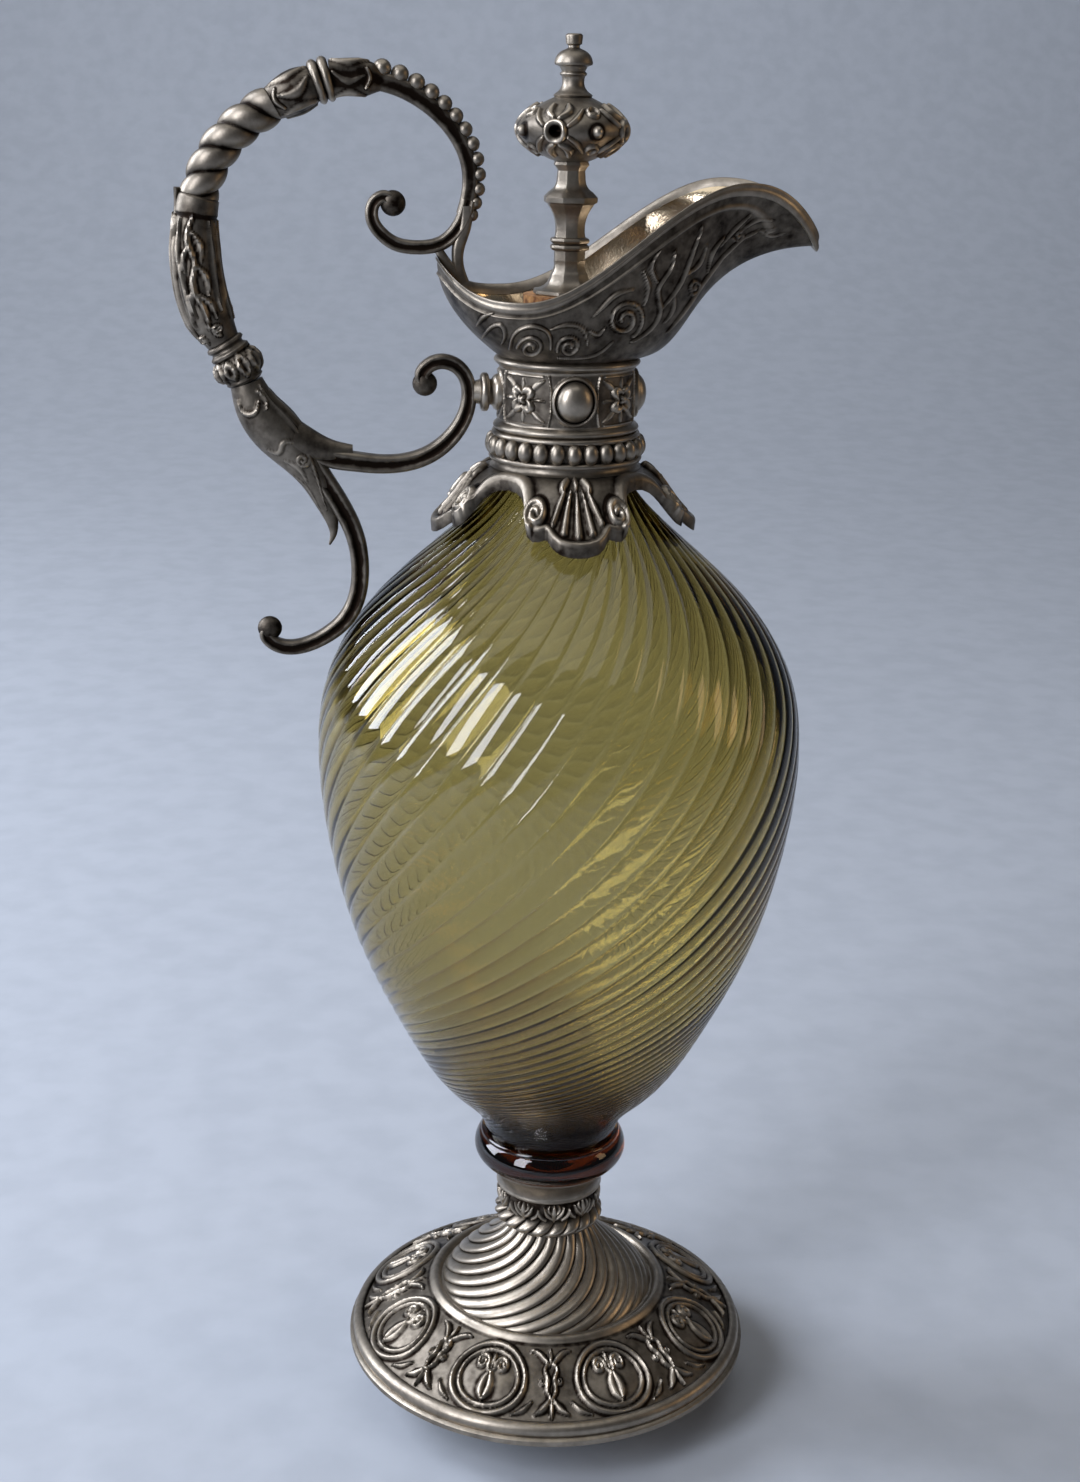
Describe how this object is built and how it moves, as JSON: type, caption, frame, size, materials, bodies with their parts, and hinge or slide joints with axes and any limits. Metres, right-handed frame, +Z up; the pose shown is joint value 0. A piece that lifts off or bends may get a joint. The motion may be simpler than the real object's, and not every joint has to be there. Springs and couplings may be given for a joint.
{
  "type": "glass ewer",
  "caption": "Tall footed swirl-ribbed glass ewer with cast plated mounts, a helmet-shaped pouring mouth, a scrolled handle and a lift-out stopper with a turned finial.",
  "frame": {"origin": "on the ewer's axis, on the plane that its foot rests on", "axes": "+Z up along the ewer's axis, +X towards the pouring beak, the handle along -X"},
  "size_m": [0.1751, 0.1386, 0.39],
  "materials": {
    "plate": "cast and chased silver plate over pewter, dark tarnish in the recesses",
    "amber_glass": "blown olive-amber glass with swirled optic ribs",
    "dark_glass": "solid dark amber glass",
    "plaster": "hidden plaster of Paris bedding",
    "cork": "turned natural cork"
  },
  "bodies": {
    "ewer": {"foot_dish": "plate", "foot_dome": "plate", "glass_body": "amber_glass", "glass_knop": "dark_glass", "handle_beads": "plate", "handle_collar": "plate", "handle_ferrule": "plate", "handle_knop": "plate", "handle_leaf_cup": "plate", "handle_leaf_grip": "plate", "handle_lower_leaf": "plate", "handle_neck_scroll": "plate", "handle_root": "plate", "handle_rope_arm": "plate", "handle_tail_scroll": "plate", "handle_upper_scroll": "plate", "handle_upper_volute": "plate", "neck_band": "plate", "neck_bead_ring": "plate", "neck_cabochons": "plate", "neck_cement": "plaster", "neck_flowers": "plate", "neck_skirt": "plate", "spout_bowl": "plate", "spout_rim": "plate", "stem_cement": "plaster", "stem_cup": "plate", "stem_gadroon": "plate"},
    "stopper": {"stopper_ball": "plate", "stopper_ball_bosses": "plate", "stopper_baluster": "plate", "stopper_bell": "plate", "stopper_button": "plate", "stopper_cork": "cork", "stopper_foot": "plate", "stopper_nut": "plate", "stopper_rod": "plate", "stopper_washer": "plate"}
  },
  "joints": [
    {"name": "stopper_lift", "type": "slide", "parent": "ewer", "child": "stopper", "axis": [0, 0, 1], "range_m": [0, 0.085]}
  ]
}
